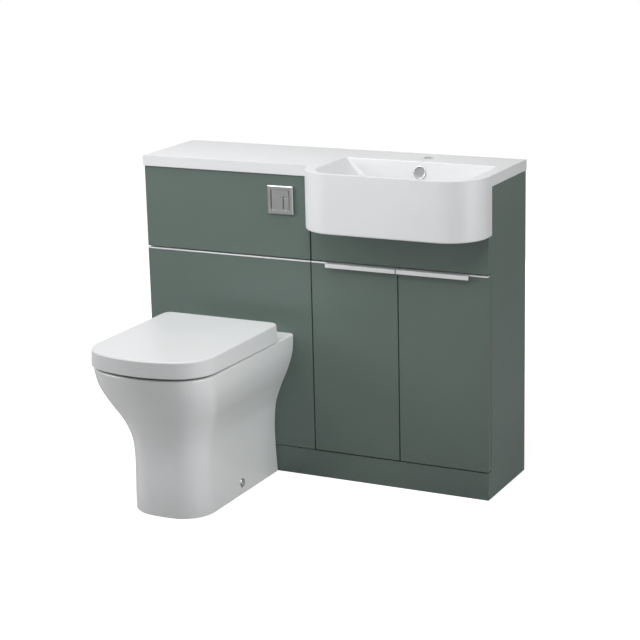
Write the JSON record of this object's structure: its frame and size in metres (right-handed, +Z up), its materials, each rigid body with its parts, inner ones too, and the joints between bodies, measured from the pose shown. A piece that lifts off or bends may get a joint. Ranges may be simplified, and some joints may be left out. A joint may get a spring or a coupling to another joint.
{
  "type": "back-to-wall vanity unit",
  "caption": "Combined bathroom furniture run: back-to-wall WC with seat, lid and concealed cistern beside a two-door vanity under a cast top with a D-shaped basin.",
  "frame": {"origin": "on the floor, under the centre of the whole object's box", "axes": "+X to the right as a user faces the fronts, +Y towards the wall, +Z up"},
  "size_m": [1.004, 0.8008, 0.853],
  "materials": {
    "front_lacquer": "satin lacquered sage green board",
    "carcass_board": "matt melamine board",
    "cast_basin": "gloss white cast resin",
    "vitreous_china": "gloss glaze",
    "seat_plastic": "gloss white thermoset plastic",
    "chrome": "satin to bright chrome",
    "trim_aluminium": "brushed, bright edge",
    "steel": "zinc plated",
    "brass": "plain",
    "rubber": "matt grey",
    "white_plastic": "moulded white",
    "grey_plastic": "moulded grey"
  },
  "bodies": {
    "cabinet": {"wc_side_left": "front_lacquer", "wc_side_right": "front_lacquer", "vanity_side_left": "front_lacquer", "vanity_side_right": "front_lacquer", "carcass_bolts": "steel", "vanity_bottom": "carcass_board", "plinth": "front_lacquer", "carcass_rails": "carcass_board", "shelf": "carcass_board", "shelf_pegs": "steel", "wall_brackets": "steel", "wc_lower_panel": "front_lacquer", "wc_access_panel": "front_lacquer", "panel_pads": "rubber", "panel_trim": "trim_aluminium", "vanity_fascia": "front_lacquer", "hinge_plates": "steel", "hinge_arms": "steel", "basin_top": "cast_basin", "overflow_cover": "chrome", "overflow_hose": "grey_plastic", "waste_body": "chrome", "bottle_trap": "white_plastic", "waste_pipe": "white_plastic", "pipe_nuts": "white_plastic", "wc_pan": "vitreous_china", "wc_pan_bowl": "vitreous_china", "seat_hinge_posts": "chrome", "seat_fixing_plugs": "grey_plastic", "pan_floor_blocks": "white_plastic", "pan_fixing_screws": "chrome", "pan_connector": "white_plastic", "flush_pipe": "white_plastic", "flush_pipe_seal": "rubber", "cistern_tank": "white_plastic", "cistern_cover": "white_plastic", "flush_valve": "white_plastic", "fill_valve": "white_plastic", "water_stop_valve": "brass", "flush_plate": "chrome", "button_housing": "grey_plastic", "air_tubes": "grey_plastic"},
    "seat": {"toilet_seat": "seat_plastic", "seat_buffers": "rubber", "seat_hinge_pins": "steel"},
    "lid": {"toilet_lid": "seat_plastic", "lid_buffers": "rubber"},
    "door_left": {"door_left": "front_lacquer", "door_left_pull": "trim_aluminium", "door_left_hinge_cups": "steel", "door_left_buffers": "rubber"},
    "door_right": {"door_right": "front_lacquer", "door_right_pull": "trim_aluminium", "door_right_hinge_cups": "steel", "door_right_buffers": "rubber"},
    "full_flush_button": {"full_flush_button": "chrome"},
    "half_flush_button": {"half_flush_button": "chrome"},
    "flush_valve_lift": {"flush_valve_lift": "grey_plastic"},
    "waste_plug": {"waste_plug": "chrome"},
    "fill_valve_float": {"fill_valve_float": "grey_plastic"}
  },
  "joints": [
    {"name": "seat_hinge", "type": "hinge", "parent": "cabinet", "child": "seat", "pos_m": [-0.227, 0.0405, 0.417], "axis": [-1, 0, 0], "range_deg": [0, 92]},
    {"name": "lid_hinge", "type": "hinge", "parent": "seat", "child": "lid", "pos_m": [-0.227, 0.0405, 0.417], "axis": [1, 0, 0], "range_deg": [-95, 0]},
    {"name": "door_left_hinge", "type": "hinge", "parent": "cabinet", "child": "door_left", "pos_m": [0.0015, 0.1345, 0.167], "axis": [0, 0, -1], "range_deg": [0, 95]},
    {"name": "door_right_hinge", "type": "hinge", "parent": "cabinet", "child": "door_right", "pos_m": [0.5, 0.1345, 0.167], "axis": [0, 0, 1], "range_deg": [0, 95]},
    {"name": "flush_valve_rise", "type": "slide", "parent": "cabinet", "child": "flush_valve_lift", "axis": [0, 0, 1], "range_m": [0, 0.022]},
    {"name": "full_flush_press", "type": "slide", "parent": "cabinet", "child": "full_flush_button", "axis": [0, 1, 0], "range_m": [0, 0.004], "stiffness_N_per_m": 300, "springref_m": -0.004},
    {"name": "half_flush_press", "type": "slide", "parent": "cabinet", "child": "half_flush_button", "axis": [0, 1, 0], "range_m": [0, 0.004], "stiffness_N_per_m": 300, "springref_m": -0.004},
    {"name": "waste_plug_lift", "type": "slide", "parent": "cabinet", "child": "waste_plug", "axis": [0, 0, 1], "range_m": [0, 0.009]},
    {"name": "fill_float_rise", "type": "slide", "parent": "cabinet", "child": "fill_valve_float", "axis": [0, 0, 1], "range_m": [0, 0.06]}
  ],
  "couplings": [
    {"joint": "full_flush_press", "follows": "flush_valve_rise", "ratio": 0.18182}
  ]
}
